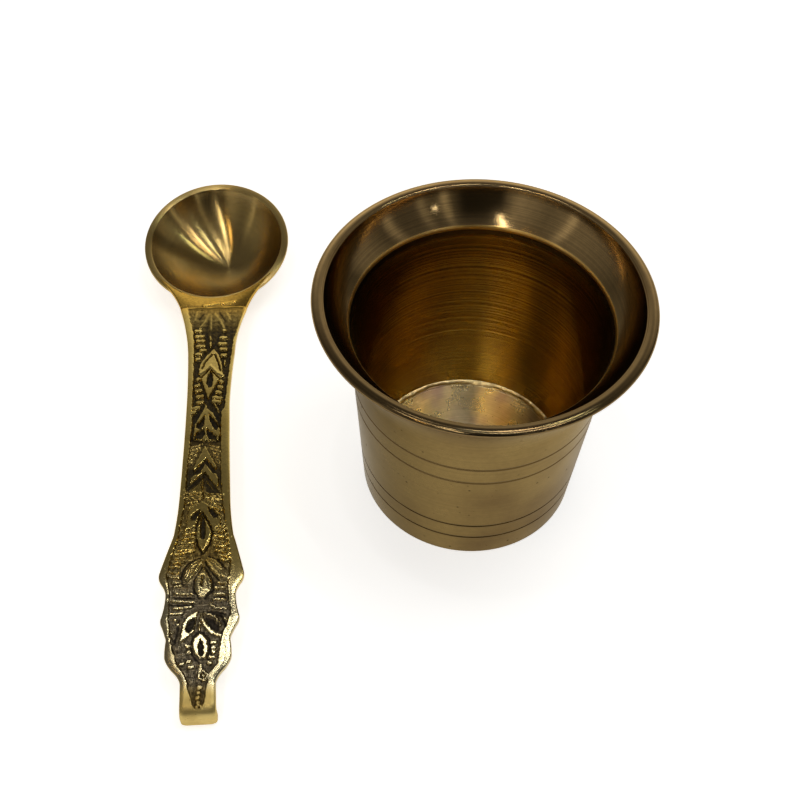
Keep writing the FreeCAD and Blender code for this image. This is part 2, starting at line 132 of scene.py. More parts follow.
# Strokes of the cast ornament, laid one over the other: half width, level, then the strokes, each as
# places along and to the side in turn, in hundredths. One of no width is a closed outline that is filled.
STROKES = (
    (0.35, 0.62, ((2388, -132, 2677, -211, 2887, -324),)),
    (0.35, 0.6, ((2372, 25, 2649, 166, 2918, 272),)),
    (0.3, 0.6, ((2273, -424, 2615, -466), (2312, 308, 2613, 416))),
    (0.25, 0.58, ((2490, -63, 2972, -53),)),
    (0.2, 0.12, ((2381, -259, 2572, -358), (2353, 151, 2655, 292))),
    (0.2, 0.15, ((2634, -119, 2967, -147),)),
    (0.5, 1, ((3024, -409, 3029, -297), (3225, -378, 3233, -229), (3395, -353, 3403, -204), (3580, -348, 3589,
        -188), (3737, -241, 3742, -155), (3864, -341, 3868, -255), (4038, -328, 4040, -291), (3027, 286, 3028,
        299), (3298, 227, 3304, 339), (3514, 193, 3522, 342), (3709, 245, 3715, 356), (3926, 273, 3930, 358))),
    (0.22, 1, ((4116, 347, 4252, 353),)),
    (0.28, 0.7, ((3228, -46, 3353, -37),)),
    (0.3, 1, ((3471, -28, 3624, -20),)),
    (0.2, 0, ((3134, 195, 3397, 123, 3653, 21),)),
    (0.16, 0.05, ((3117, -148, 3432, -82, 3635, -65),)),
    (0, 0.86, ((3686, 60, 3920, -97, 4171, -236, 4423, -273, 4590, -243, 4757, -184, 5003, -112, 5363, -7, 5093,
        94, 4777, 214, 4669, 339, 4452, 306, 4198, 281, 3891, 192, 3686, 60),)),
    (0.16, 0.2, ((3892, 39, 4155, -130, 4364, -186), (3895, 94, 4172, 189, 4449, 252))),
    (0.3, 1, ((4269, 2, 4431, -116, 4533, -231), (4269, 2, 4530, 189, 4628, 343))),
    (0.14, 0.1, ((4386, -4, 4547, -111, 4667, -189), (4387, 14, 4611, 162, 4731, 263))),
    (0, 0.03, ((4438, 19, 4642, -46, 4865, -59, 4989, 0, 4972, 65, 4771, 86, 4565, 70, 4438, 19),)),
    (0.5, 1, ((4732, -278, 4709, -255), (4933, -300, 4912, -242), (5102, -285, 5083, -191), (5284, -258, 5267,
        -141), (5464, -237, 5446, -132), (5637, -305, 5618, -212), (5768, -333, 5747, -299), (4809, 284, 4835,
        309), (4977, 243, 5004, 304), (5146, 197, 5174, 281), (5312, 133, 5343, 299), (5428, 126, 5458, 268))),
    (0.22, 0.8, ((5507, 155, 5722, 260),)),
    (0, 0.88, ((5458, -52, 5667, -87, 5888, -179, 6142, -282, 6539, -298, 6584, -104, 6598, 25, 6582, 291, 6354,
        324, 6115, 275, 5791, 137, 5640, 0, 5458, -52),)),
    (0, 0, ((5838, -59, 5966, -117, 6108, -226, 6210, -236, 6266, -147, 6134, -66, 5838, -59), (5797, 36, 5993,
        67, 6219, 154, 6306, 230, 6199, 275, 6064, 221, 5933, 129, 5797, 36))),
    (0, 0.03, ((6245, -55, 6311, -188, 6451, -259, 6527, -255, 6535, -92, 6409, -31, 6245, -55), (6229, -4, 6374,
        146, 6477, 247, 6565, 239, 6557, 67, 6375, 8, 6229, -4))),
    (0.15, 0.6, ((6764, -395, 6673, -86),)),
    (0.15, 0.55, ((6699, 72, 6789, 332),)),
    (0.15, 0.6, ((6861, -396, 6770, -127),)),
    (0.15, 0.55, ((6799, 110, 6887, 336),)),
    (0.15, 0.6, ((6959, -397, 6866, -168),)),
    (0.15, 0.55, ((6899, 148, 6985, 339),)),
    (0.15, 0.6, ((7055, -398, 6961, -210),)),
    (0.15, 0.55, ((6998, 186, 7081, 342),)),
    (0.15, 0.6, ((7151, -399, 7055, -251),)),
    (0.15, 0.55, ((7096, 223, 7177, 345),)),
    (0.15, 0.6, ((7246, -400, 7149, -292),)),
    (0.15, 0.55, ((7193, 260, 7273, 348),)),
    (0, 0.97, ((6730, -12, 7354, -260, 7426, -231, 7086, 31, 7396, 245, 7337, 279, 6730, -12),)),
    (0, 0.04, ((7120, 26, 7433, -231, 7537, -134, 7334, 12, 7499, 158, 7458, 275, 7120, 26),)),
    (0, 0.94, ((7226, 16, 7479, -95, 7539, -232, 7618, -307, 7848, -308, 7776, -236, 7458, 3, 7725, 194, 7911,
        317, 7699, 327, 7532, 285, 7493, 186, 7226, 16),)),
    (0, 0.65, ((7680, -64, 7956, -284, 7989, -61, 7680, -64),)),
    (0.34, 0.04, ((7511, 10, 7675, -171, 7894, -356),)),
    (0, 0.1, ((7513, 38, 7920, 311, 8021, 384, 7979, 55, 7513, 38),)),
    (0.16, 0.85, ((7615, -39, 8167, -24),)),
    (0.12, 0.6, ((7686, 53, 7889, 199),)),
    (0.22, 0.8, ((8005, -392, 8005, -69),)),
    (0.22, 0.75, ((8010, 37, 8066, 393),)),
    (0.22, 0.8, ((8118, -387, 8118, -64),)),
    (0.22, 0.75, ((8123, 41, 8179, 396),)),
    (0.26, 0.78, ((8103, -360, 8076, -71), (8241, -340, 8214, -121))),
    (0.35, 0.9, ((8381, -321, 8306, -178),)),
    (0.26, 0.74, ((8092, 73, 8162, 374), (8211, 94, 8321, 389))),
    (0.35, 0.86, ((8332, 227, 8448, 414),)),
    (0, 0.9, ((8218, -25, 8328, -172, 8447, -304, 8607, -336, 8822, -343, 8961, -402, 8893, -259, 8801, -86, 8998,
        -141, 9299, -114, 9534, 20, 9536, 60, 9256, 218, 8988, 260, 8794, 396, 8675, 406, 8517, 361, 8346, 186,
        8218, -25),)),
    (0, 0.03, ((8428, -53, 8471, -133, 8580, -250, 8698, -239, 8686, -172, 8573, -89, 8428, -53), (8374, 113,
        8426, 230, 8578, 338, 8649, 327, 8632, 236, 8523, 159, 8374, 113))),
    (0.2, 0.06, ((8514, -22, 8787, -114, 9028, -145, 9300, -82, 9502, 19), (8515, 0, 8738, 130, 8987, 232, 9254,
        191, 9504, 53))),
    (0.22, 1, ((8654, -9, 8880, -83, 9091, -95, 9393, 15), (8655, 10, 8890, 121, 9043, 158, 9395, 45))),
    (0, 0.05, ((8561, -12, 8882, -37, 9140, -15, 9159, 64, 8888, 75, 8672, 46, 8561, -12),)),
    (0.25, 1, ((8847, 359, 8895, 462, 8811, 500), (8947, 291, 8998, 456, 8916, 519), (9067, 278, 9118, 465, 9038,
        537), (9187, 270, 9239, 475, 9159, 556), (9305, 255, 9358, 483, 9279, 575), (9425, 298, 9476, 508, 9398,
        593), (9533, 354, 9583, 536, 9505, 611), (9629, 410, 9677, 563, 9599, 629))),
    (0.24, 1, ((9022, -394, 8986, -142), (9128, -444, 9106, -148), (9244, -493, 9225, -160), (9489, -544, 9433,
        -137), (9584, -575, 9581, -334), (9684, -597, 9677, -389), (9774, -638, 9778, -433), (9888, -646, 9920,
        -454), (10007, -647, 10034, -439), (10125, -597, 10152, -451))),
    (0, 0.78, ((9316, -479, 9297, -141, 9409, -148, 9426, -520, 9316, -479),)),
    (0, 0.6, ((9612, 9, 9691, -162, 9814, -291, 10009, -369, 10145, -292, 9937, -114, 9700, 25, 9612, 9),)),
    (0.16, 0.05, ((9591, -19, 9663, -203, 9810, -363, 10035, -418, 10220, -369),)),
    (0.23, 1, ((9691, 11, 9908, -115, 10118, -280),)),
    (0.2, 1, ((9643, -17, 9733, -188, 9899, -296, 10017, -329),)),
    (0.27, 1, ((9875, -201, 9876, -185),)),
    (0, 0.6, ((9618, 121, 9654, 264, 9820, 420, 10060, 547, 10024, 392, 9845, 229, 9618, 121),)),
    (0.14, 0.05, ((9689, 86, 9931, 231, 10115, 394),)),
    (0.22, 1, ((9661, 117, 9861, 256, 10060, 425),)),
    (0.2, 1, ((9604, 142, 9670, 304, 9827, 447),)),
    (0.16, 0.05, ((9562, 168, 9644, 357, 9854, 522),)),
    (0, 0.75, ((9773, 45, 9941, -35, 10134, -121, 10302, -116, 10479, -6, 10485, 99, 10320, 245, 10181, 255,
        10007, 166, 9773, 45),)),
    (0.17, 0.06, ((9807, 28, 10105, -135, 10301, -148, 10506, -18), (9809, 81, 10125, 267, 10322, 277, 10512, 100))),
    (0.14, 0.2, ((10001, 41, 10226, 32),)),
    (0.43, 1, ((10195, -32, 10335, -18),)),
    (0.23, 1, ((10079, 176, 10290, 202),)),
    (0.25, 1, ((10226, -527, 10210, -396), (10382, -526, 10411, -163), (10544, -582, 10595, -104), (10710, -534,
        10695, -180), (10830, -613, 10822, -343), (10296, 319, 10295, 530), (10175, 369, 10195, 533), (10422, 290,
        10440, 537), (10538, 284, 10561, 534))),
    (0.26, 1, ((10636, 221, 10736, 323, 10753, 550),)),
    (0.25, 1, ((10960, 475, 10981, 572),)),
    (0.24, 1, ((10196, 549, 10063, 600, 10005, 689),)),
    (0.16, 0.05, ((10462, -583, 10501, -118), (10799, 225, 10869, 539), (10631, -589, 10653, -145))),
    (0.14, 0.05, ((10483, 291, 10501, 533),)),
    (0, 1, ((10779, -18, 10866, -229, 11052, -345, 11289, -374, 11490, -419, 11358, -253, 11244, -107, 10907, -51,
        10779, -18),)),
    (0, 0.03, ((10931, -97, 11018, -225, 11149, -278, 11238, -231, 11200, -142, 11039, -87, 10931, -97),)),
    (0, 1, ((10798, 37, 10964, 15, 11160, 116, 11302, 261, 11377, 459, 11310, 478, 11245, 338, 11100, 179, 10935,
        85, 10798, 37),)),
    (0.24, 1, ((10848, 122, 10920, 332, 11113, 449),)),
    (0, 0.05, ((10920, 116, 10977, 281, 11116, 392, 11223, 415, 11218, 311, 11079, 184, 10920, 116),)),
    (0.2, 0.04, ((10805, 186, 10905, 448, 11124, 556, 11278, 468), (10969, -421, 11258, -462, 11465, -507))),
    (0.22, 1, ((11044, 12, 11229, 6),)),
    (0, 1, ((11268, 7, 11356, -86, 11483, -136, 11666, -96, 11792, 15, 11799, 148, 11629, 196, 11408, 176, 11299,
        93, 11268, 7),)),
    (0, 0.03, ((11401, 31, 11516, -5, 11697, 7, 11744, 65, 11676, 97, 11494, 85, 11401, 31),)),
    (0.17, 0.06, ((11228, -4, 11332, -130, 11507, -182, 11729, -125, 11876, 11), (11230, 40, 11365, 206, 11580,
        241, 11796, 189))),
    (0.39, 1, ((11465, 272, 11468, 334), (11578, 297, 11579, 328), (11660, 286, 11662, 327), (11772, 229, 11776,
        311), (11881, 213, 11883, 254), (11524, -248, 11527, -197), (11647, -227, 11649, -186), (11844, -214,
        11847, -163), (11957, -185, 11962, -104), (11883, -365, 11885, -314))),
    (0.34, 0.92, ((11355, -624, 11356, -603), (11486, -598, 11487, -578), (11595, -584, 11596, -574), (11227,
        -564, 11228, -543), (11061, -443, 11061, -433), (10965, -504, 10965, -493))),
    (0.25, 0.97, ((12116, 9, 12038, 101, 12133, 205, 12235, 146, 12199, 29, 12116, 9),)),
    (0.31, 0.92, ((12138, 103, 12144, 114),)),
    (0.39, 0.72, ((11928, 43, 12055, 46),)),
    (0.51, 1, ((12379, 35, 12379, 50),)),
    (0.39, 1, ((12481, 12, 12482, 27),)),
    (0.47, 1, ((12579, -2, 12579, 13),)),
    (0.41, 1, ((12677, 5, 12677, 20),)),
    (0.64, 1, ((12774, 26, 12775, 41),)),
    (0.16, 0.3, ((12762, 33, 12783, 35),)),
)


# ---- working on meshes ----

def start_piece(name, make, **settings):
    """Add a primitive with nothing else selected, and open it for editing."""
    bpy.ops.object.select_all(action="DESELECT")
    make(**settings)
    piece = bpy.context.object
    piece.name = name
    piece.data.name = name
    bpy.ops.object.mode_set(mode="EDIT")
    return piece


def close_up(piece):
    """Merge doubles, turn every face outwards and leave edit mode."""
    bpy.ops.mesh.select_all(action="SELECT")
    bpy.ops.mesh.remove_doubles(threshold=0.002)
    bpy.ops.mesh.normals_make_consistent(inside=False)
    bpy.ops.object.mode_set(mode="OBJECT")
    return piece


def settle(piece, place=Matrix.Identity(4), smooth=40.0):
    """Put a piece in its place, in metres, with its object at the origin."""
    piece.data.transform(Matrix.Scale(MM, 4) @ place)
    bpy.ops.object.select_all(action="DESELECT")
    piece.select_set(True)
    bpy.context.view_layer.objects.active = piece
    bpy.ops.object.shade_smooth_by_angle(angle=math.radians(smooth))
    return piece


def bowed(start, end, bow, count):
    """Points on the arc from start to end whose middle bows to the left of the chord."""
    chord = Vector(end) - Vector(start)
    turn = 4 * math.atan(2 * bow / chord.length)
    radius = chord.length / (2 * math.sin(turn / 2))
    points = []
    for i in range(1, count + 1):
        part = turn * i / count
        reach = Matrix.Rotation((turn - part) / 2, 2) @ chord.normalized() * (2 * radius * math.sin(part / 2))
        points.append(tuple(Vector(start) + reach))
    return points


def add_arcs(section, *arcs):
    """Carry a section on through arcs, each with its end, its bow and its number of pieces."""
    for end, bow, count in arcs:
        section += bowed(section[-1], end, bow, count)


def turned(name, section):
    """Turn a half section, radius and height, once round the upright axis."""
    piece = start_piece(name, bpy.ops.mesh.primitive_plane_add, size=1.0)
    bpy.ops.mesh.merge(type="CENTER")
    bpy.ops.transform.translate(value=(section[0][0], 0.0, section[0][1]))
    for here, there in zip(section, section[1:]):
        step = (there[0] - here[0], 0.0, there[1] - here[1])
        bpy.ops.mesh.extrude_region_move(TRANSFORM_OT_translate={"value": step})
    bpy.ops.mesh.select_all(action="SELECT")
    bpy.ops.mesh.spin(steps=TURNS, angle=math.tau, center=(0, 0, 0), axis=(0, 0, 1))
    return close_up(piece)


def polar_map(piece):
    """Unwrap a turned piece: across is the way along its section, up is the way round."""
    layer = piece.data.uv_layers.new(name="Turned")
    places = layer.data
    for face in piece.data.polygons:
        spots = [piece.data.vertices[i].co for i in face.vertices]
        middle = sum(spots, Vector()) / len(spots)
        heading = math.atan2(middle.y, middle.x)
        for loop, spot in zip(face.loop_indices, spots):
            radius = math.hypot(spot.x, spot.y)
            swing = 0.0
            if radius > 1e-6:
                swing = (math.atan2(spot.y, spot.x) - heading + math.pi) % math.tau - math.pi
            places[loop].uv = ((spot.z + 0.6 * radius) / RIM, (heading + swing) / math.tau)


# ---- turned cup ----

def wall_at(height):
    """Outer radius of the cup's straight wall."""
    return FOOT_RADIUS + BODY_SPREAD * height / BODY_HEIGHT


def bore_at(height):
    """Radius of the tapered bore."""
    return BORE_FOOT + (BORE_WAIST - BORE_FOOT) * height / BODY_HEIGHT


def make_wall():
    """The cup's wall in one turning: foot, lines, cove, lip, dish, throat and bore."""
    section = [(BORE_FOOT, 0.25), (BORE_FOOT + 0.25, 0.0), (FOOT_RADIUS - FOOT_ROUND, 0.0)]
    add_arcs(section, ((wall_at(FOOT_ROUND), FOOT_ROUND), -FOOT_ROUND * 0.29, 5))
    for height, width, depth in LINE_HEIGHTS:
        section += [(wall_at(height - width) - 0.005, height - width), (wall_at(height), height - width / 2)]
        section += [(wall_at(height) - depth, height - 0.06), (wall_at(height) - depth, height + 0.06)]
        section += [(wall_at(height), height + width / 2), (wall_at(height + width) - 0.005, height + width)]
    section.append((WAIST, BODY_HEIGHT))
    add_arcs(section, ((RIM - 0.7, UNDER_LIP), COVE_BOW, 28), ((RIM, UNDER_LIP + 0.8), -0.15, 6),
             ((RIM - 0.8, CUP_TOP - 0.1), -0.2, 9), ((RIM - LIP_WIDTH + 0.3, CUP_TOP - 0.1), -0.1, 8),
             ((RIM - LIP_WIDTH, CUP_TOP - LIP_STEP - 0.08), -0.06, 5))
    section.append((RIM - LIP_WIDTH - 0.22, CUP_TOP - LIP_STEP - 0.14))
    add_arcs(section, (THROAT_OUT, DISH_BOW, 28), (THROAT_IN, -0.12, 8),
             ((BORE_WAIST, BODY_HEIGHT), -THROAT_BOW, 14))
    section += [(bore_at(height), height) for height in (30.0, 18.0, 8.0)]
    section.append(section[0])
    return turned("cup_wall", section)


def make_floor_disc():
    """The disc in the foot of the bore, with its turned bead and groove."""
    groove, width, depth = DISC_GROOVE
    section = [(0.0, 0.12), (BORE_FOOT - 1.2, 0.12), (BORE_FOOT - 0.9, 0.0), (BORE_FOOT - 0.15, 0.0)]
    section += [(BORE_FOOT - 0.03, 0.15), (DISC_EDGE, DISC_TOP - 0.1), (DISC_EDGE - 0.1, DISC_TOP)]
    section += [(groove + 0.1, DISC_TOP)]
    add_arcs(section, ((groove - width, DISC_TOP), depth * 0.8, 8),
             ((groove - width - 1.0, DISC_TOP - 0.02), -0.02, 6))
    section += [(radius, DISC_TOP - 0.02 - 0.0007 * (20.6 - radius)) for radius in (18.0, 14.0, 9.0, 5.0, 2.0)]
    section.append((0.0, DISC_TOP - 0.035))
    return turned("cup_floor", section)


def make_braze():
    """The lumpy bead of braze round the disc."""
    outer = bore_at(DISC_TOP) - 0.03
    start = (outer - BRAZE_WIDTH, DISC_TOP + 0.001)
    crest = (bore_at(DISC_TOP + BRAZE_HEIGHT) - 0.035, DISC_TOP + BRAZE_HEIGHT)
    section = [start, (outer, DISC_TOP + 0.001), crest]
    section += bowed(crest, start, -0.1, 8)
    ring = turned("cup_braze", section)
    for vertex in ring.data.vertices:
        around = math.atan2(vertex.co.y, vertex.co.x)
        radius = math.hypot(vertex.co.x, vertex.co.y)
        inward = (outer - radius) / BRAZE_WIDTH
        lump = 0.12 * math.sin(7 * around + 1.0) + 0.1 * math.sin(17 * around) + 0.07 * math.sin(41 * around + 2.0)
        keep = 1 + lump * inward / radius
        vertex.co.x *= keep
        vertex.co.y *= keep
    return ring


# ---- spoon ----

SPOON = Matrix.Translation(SPOON_PLACE) @ Matrix.Rotation(SPOON_TURN, 4, "Z")
OUTER_DEPTH = BOWL_DEPTH + BOWL_FLOOR
OUTER_CENTRE = (BOWL_RADIUS ** 2 + BOWL_EDGE ** 2 - OUTER_DEPTH ** 2) / (2 * (OUTER_DEPTH - BOWL_EDGE))
RIM_HEIGHT = OUTER_CENTRE + OUTER_DEPTH - OUTER_CENTRE * math.cos(BOWL_TILT) * math.cos(BOWL_ROLL)
BOWL_PLACE = (SPOON @ Matrix.Translation((0, 0, RIM_HEIGHT)) @ Matrix.Rotation(BOWL_TILT, 4, "Y")
              @ Matrix.Rotation(BOWL_ROLL, 4, "X"))


def ball_arc(edge, depth, count):
    """Points from a ball's lowest point up to its edge, a ring of that radius at height edge[1]."""
    pole = (0.0, edge[1] - depth)
    reach = math.hypot(edge[0], depth)
    radius = (edge[0] ** 2 + depth ** 2) / (2 * depth)
    bow = radius - math.sqrt(radius ** 2 - reach ** 2 / 4)
    return [pole] + bowed(pole, edge, -bow, count)


def make_bowl():
    """The spoon's bowl, a shell between two balls with a flat land round it."""
    section = ball_arc((BOWL_RADIUS, -BOWL_EDGE), OUTER_DEPTH - BOWL_EDGE, 40)
    section += bowed((BOWL_RADIUS, -0.32), (BOWL_RADIUS - 0.35, -0.06), -0.073, 5)
    add_arcs(section, ((BOWL_INSIDE + 0.3, -0.07), -0.05, 8), ((BOWL_INSIDE, -0.22), -0.03, 4))
    section += list(reversed(ball_arc((BOWL_INSIDE - 0.07, -0.28), BOWL_DEPTH - 0.28, 48)))
    return turned("spoon_bowl_shell", section)


def shift_pole(shell):
    """The bowl's inner face is deepest off its centre, towards the handle and the right."""
    centre = Vector((0, 0, OUTER_CENTRE))
    inner = OUTER_CENTRE + OUTER_DEPTH - 0.4
    for vertex in shell.data.vertices:
        spot = vertex.co
        across = math.hypot(spot.x, spot.y)
        if across < BOWL_INSIDE - 0.1 and (spot - centre).length < inner:
            share = (1 - (across / BOWL_INSIDE) ** 2) ** 1.5
            spot.x += POLE_SHIFT[0] * share
            spot.y += POLE_SHIFT[1] * share


def table(rows, column, places):
    """Read a column of a table of places, smoothly between its rows."""
    return np.interp(places, [row[0] for row in rows], [row[column] for row in rows])


def half_width(along):
    """Half width of the handle's plan."""
    fine = np.linspace(OUTLINE[0][0], OUTLINE[-1][0], 2200)
    wide = np.empty_like(fine)
    for before, after in zip(OUTLINE, OUTLINE[1:]):
        part = (fine - before[0]) / (after[0] - before[0])
        inside = (part >= 0) & (part <= 1)
        bent = before[1] + (after[1] - before[1]) * part + 4 * after[2] * part * (1 - part)
        wide[inside] = bent[inside]
    window = np.hanning(23)
    soft = np.convolve(np.pad(wide, 11, mode="edge"), window / window.sum(), mode="valid")
    return np.interp(along, fine, soft)


ARCH_CHORD = math.dist(JOINT, BEND)
ARCH_RADIUS = (ARCH_CHORD ** 2 / 4 + CROWN ** 2) / (2 * CROWN)
ARCH_SLOPE = math.atan2(BEND[1] - JOINT[1], BEND[0] - JOINT[0])
ARCH_CENTRE = (
    (JOINT[0] + BEND[0]) / 2 + (ARCH_RADIUS - CROWN) * math.sin(ARCH_SLOPE),
    (JOINT[1] + BEND[1]) / 2 - (ARCH_RADIUS - CROWN) * math.cos(ARCH_SLOPE),
)
BEND_LEAN = math.asin((ARCH_CENTRE[0] - BEND[0]) / ARCH_RADIUS)
BEND_CENTRE = (BEND[0] + BEND_RADIUS * math.sin(BEND_LEAN), BEND[1] - BEND_RADIUS * math.cos(BEND_LEAN))
BEND_RUN = BEND_RADIUS * (math.pi / 2 + BEND_LEAN)
FLAT_END = BEND[0] + BEND_RUN + BEND_CENTRE[1]


def arch(along, side, height):
    """Lay flat places along, to the side and above the face on the arch and the curled tail."""
    on_arch = np.minimum(along, BEND[0])
    lean = np.arcsin((ARCH_CENTRE[0] - on_arch) / ARCH_RADIUS)
    past = np.clip(along - BEND[0], 0, BEND_RUN)
    lean = np.where(along > BEND[0], BEND_LEAN - past / BEND_RADIUS, lean)
    x = np.where(along > BEND[0], BEND_CENTRE[0] - BEND_RADIUS * np.sin(lean), on_arch)
    z = np.where(along > BEND[0], BEND_CENTRE[1] + BEND_RADIUS * np.cos(lean),
                 ARCH_CENTRE[1] + ARCH_RADIUS * np.cos(lean))
    z = z - np.clip(along - BEND[0] - BEND_RUN, 0, None)
    return np.stack([x - height * np.sin(lean), side, z + height * np.cos(lean)], axis=1)


def step_up(value):
    """A smooth step from 0 to 1."""
    value = np.clip(value, 0, 1)
    return value * value * (3 - 2 * value)


def near_line(along, side, points):
    """Distance to a run of straight pieces."""
    nearest = np.full(along.shape, 99.0)
    for (a0, s0), (a1, s1) in zip(points, points[1:]):
        da, ds = a1 - a0, s1 - s0
        part = np.clip(((along - a0) * da + (side - s0) * ds) / (da * da + ds * ds), 0, 1)
        nearest = np.minimum(nearest, np.hypot(along - a0 - part * da, side - s0 - part * ds))
    return nearest


def within(along, side, points):
    """Which places lie inside a closed outline."""
    inside = np.zeros(along.shape, bool)
    for (a0, s0), (a1, s1) in zip(points, points[1:]):
        if a0 != a1:
            inside ^= ((a0 > along) != (a1 > along)) & (side < (s1 - s0) * (along - a0) / (a1 - a0) + s0)
    return inside


def relief(along, side):
    """Level of the handle's face, 0 on the panel's ground and 1 on its margins."""
    wobble = 0.1 * np.sin(1.9 * along + 0.8 * side) + 0.07 * np.sin(4.3 * along - 2.1 * side)
    left = table(PANEL, 1, along) - side
    right = side - table(PANEL, 2, along)
    inset = np.minimum(np.minimum(-left, -right), PANEL[-1][0] - along)
    started = step_up((along - PANEL[0][0] + 0.1 * np.sin(1.4 * side + 0.5)) / 1.1)
    inside = step_up((inset + 0.6 * wobble) / PANEL_WALL) * started
    a = along + 0.06 * np.sin(5.3 * side + 2.1 * along)
    s = side + 0.05 * np.sin(4.7 * along + 1.3 * side)
    level = table(GROUND, 1, along)
    grain = np.sin(7.3 * along + 3 * np.sin(4.1 * side)) * np.sin(8.1 * side + 2.6 * np.sin(3.7 * along))
    level = level + grain * (0.04 + 0.22 * level)
    for half, height, line in ((half, height, line) for half, height, lines in STROKES for line in lines):
        places, sides = ([value / 100 for value in line[start::2]] for start in (0, 1))
        points = list(zip(places, sides))
        reach = (a > min(places) - 1.0) & (a < max(places) + 1.0) & (s > min(sides) - 1.0) & (s < max(sides) + 1.0)
        if not reach.any():
            continue
        away = near_line(a[reach], s[reach], points)
        if half == 0:
            away = np.where(within(a[reach], s[reach], points), -away, away)
        shape = step_up((half + SPREAD - away) / (2 * SPREAD))
        level[reach] += (height - level[reach]) * shape
    level = np.clip(level + 0.05 * grain * (1 - level), 0, 1.02)
    return 1 - inside * (1 - level)


def ring_of_places(across, under):
    """The plate's cross-section as a loop, written as side = a * half width + b, height = c + d * thickness."""
    places = [(q, -q * TOP_ROUND, 0.0, 0.0) for q in np.linspace(-1, 1, across)]
    turns = np.linspace(0, math.pi / 2, 5)[1:]
    down = [(1, -TOP_ROUND + TOP_ROUND * math.sin(t), TOP_ROUND * (math.cos(t) - 1), 0.0) for t in turns]
    down += [(1, 0.0, UNDER_ROUND * 0.5, -0.75)]
    down += [(1, -UNDER_ROUND + UNDER_ROUND * math.cos(t), UNDER_ROUND * (1 - math.sin(t)), -1.0)
             for t in np.linspace(0, math.pi / 2, 6)]
    places += down
    places += [(q, -q * UNDER_ROUND, 0.0, -1.0) for q in np.linspace(1, -1, under)[1:-1]]
    places += [(-a, -b, c, d) for a, b, c, d in reversed(down)]
    places.append(places[0])
    return np.array(places)


def strip(name, rows, loop):
    """A grid that is rolled into a tube later: which row and which place of the loop each vertex is."""
    piece = start_piece(name, bpy.ops.mesh.primitive_grid_add, x_subdivisions=rows - 1,
                        y_subdivisions=loop - 1, size=2.0)
    bpy.ops.object.mode_set(mode="OBJECT")
    flat = np.empty(len(piece.data.vertices) * 3)
    piece.data.vertices.foreach_get("co", flat)
    flat = flat.reshape(-1, 3)
    row = np.rint((flat[:, 0] + 1) / 2 * (rows - 1)).astype(int)
    spot = np.rint((flat[:, 1] + 1) / 2 * (loop - 1)).astype(int)
    return piece, row, spot


def close_tube(piece, places, level):
    """Set a rolled grid's places and their level, join its seam and fill its two ends."""
    piece.data.attributes.new("relief", "FLOAT", "POINT").data.foreach_set("value", level.astype(np.float32))
    piece.data.vertices.foreach_set("co", places.astype(np.float32).ravel())
    piece.data.update()
    bpy.ops.object.mode_set(mode="EDIT")
    bpy.ops.mesh.select_all(action="SELECT")
    bpy.ops.mesh.remove_doubles(threshold=0.002)
    bpy.ops.mesh.select_all(action="DESELECT")
    bpy.ops.mesh.select_mode(type="EDGE")
    bpy.ops.mesh.select_non_manifold()
    bpy.ops.mesh.fill_holes(sides=0)
    bpy.ops.mesh.select_mode(type="VERT")
    return close_up(piece)


def make_handle():
    """The cast handle: arched plate, sunk panel with its ornament, tail curled down to the table."""
    section = ring_of_places(84, 10)
    half_plate = PLATE / 2
    straight = np.linspace(JOINT[0], FLAT_END - half_plate, 690)
    tip = np.radians([12, 24, 36, 48, 60, 72, 80, 86])
    flat = np.concatenate([straight, FLAT_END - half_plate + half_plate * np.sin(tip)])
    squeeze = np.concatenate([np.ones(len(straight)), np.cos(tip)])
    piece, row, spot = strip("spoon_handle_plate", len(flat), len(section))
    a, b, c, d = section[spot].T
    along = flat[row]
    middle = table(DRIFT, 1, along)
    half = half_width(along) + np.where(a > 0, middle, -middle)
    to_end = FLAT_END - along
    for corner, hand in TAIL_CORNERS:
        cut = corner - np.sqrt(np.clip(corner ** 2 - np.clip(corner - to_end, 0, corner) ** 2, 0, None))
        half = half - np.where(np.sign(a) == hand, cut, 0)
    side = a * half + b
    height = c + d * PLATE
    top = (c == 0) & (d == 0)
    level = np.ones(len(along))
    level[top] = relief(along[top], side[top])
    depth = PANEL_DEPTH * (0.45 + 0.55 * step_up((along - 23.0) / 7.0))
    height = height - depth * (1 - level)
    height = -half_plate + (height + half_plate) * squeeze[row]
    edge = np.clip((np.abs(a) - MARGIN_EDGE) / (1 - MARGIN_EDGE), 0, 1)
    height = height - np.where(d == 0, MARGIN_DROP * edge ** 2 * squeeze[row], 0)
    return close_tube(piece, arch(along, side, height), level)


